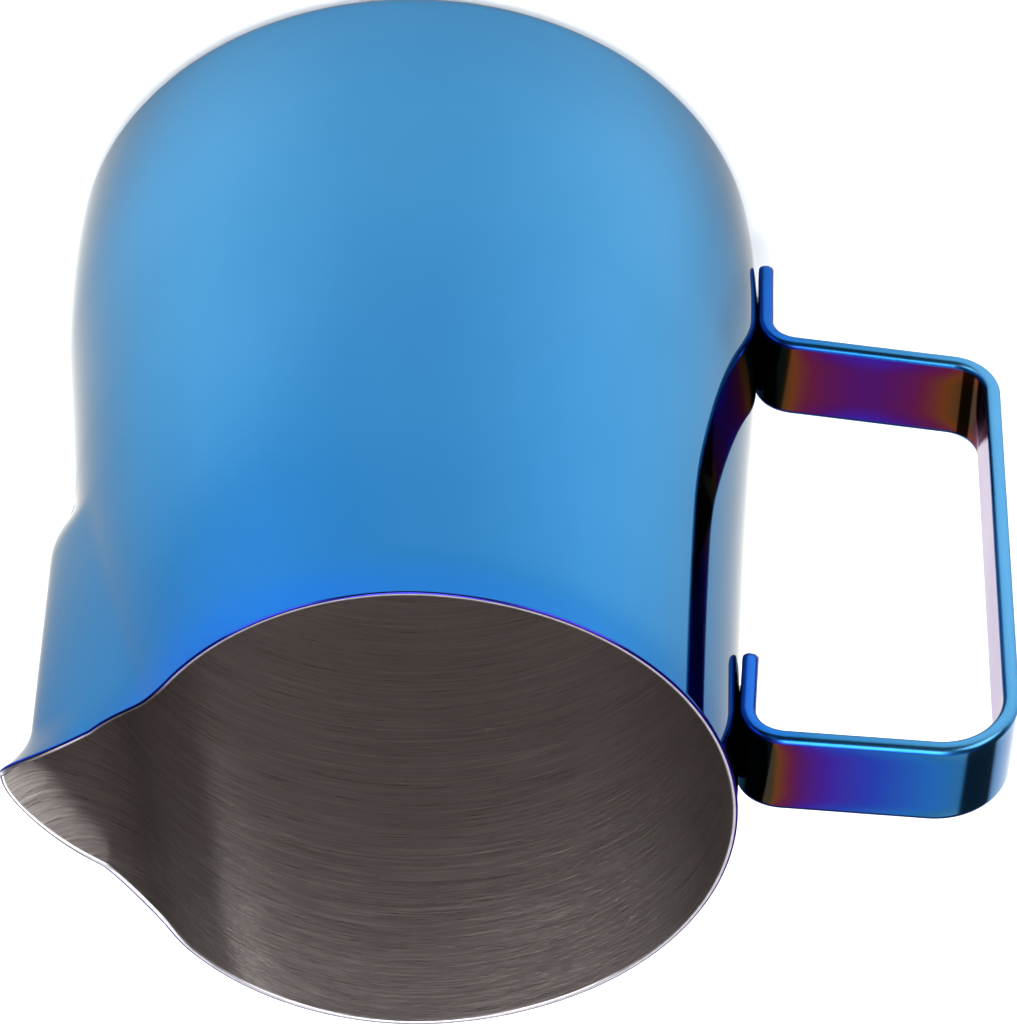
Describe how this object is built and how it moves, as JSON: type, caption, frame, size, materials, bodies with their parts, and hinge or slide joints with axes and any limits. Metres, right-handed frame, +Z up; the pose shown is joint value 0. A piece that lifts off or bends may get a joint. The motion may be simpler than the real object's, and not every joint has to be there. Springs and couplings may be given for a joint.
{
  "type": "milk frothing pitcher",
  "caption": "Blue mirror-coated steel milk frothing pitcher: round drawn cup with a pressed pouring spout and a bent strap handle, brushed bare steel inside.",
  "frame": {"origin": "centre of the foot ring, on the resting plane", "axes": "+Z up to the mouth, +X towards the pouring spout, handle towards -X, the object is symmetric about the XZ plane"},
  "size_m": [0.1253, 0.0924, 0.1013],
  "materials": {
    "coated_shell": "mirror-polished steel with a blue vapour-deposited coat outside, bare brushed steel inside",
    "coated_strap": "polished steel strap with the same coat, shading to purple and amber near the wall",
    "weld_steel": "bare steel spot welds"
  },
  "bodies": {
    "root": {"body": "coated_shell", "handle": "coated_strap", "upper_welds": "weld_steel", "lower_welds": "weld_steel"}
  },
  "joints": []
}
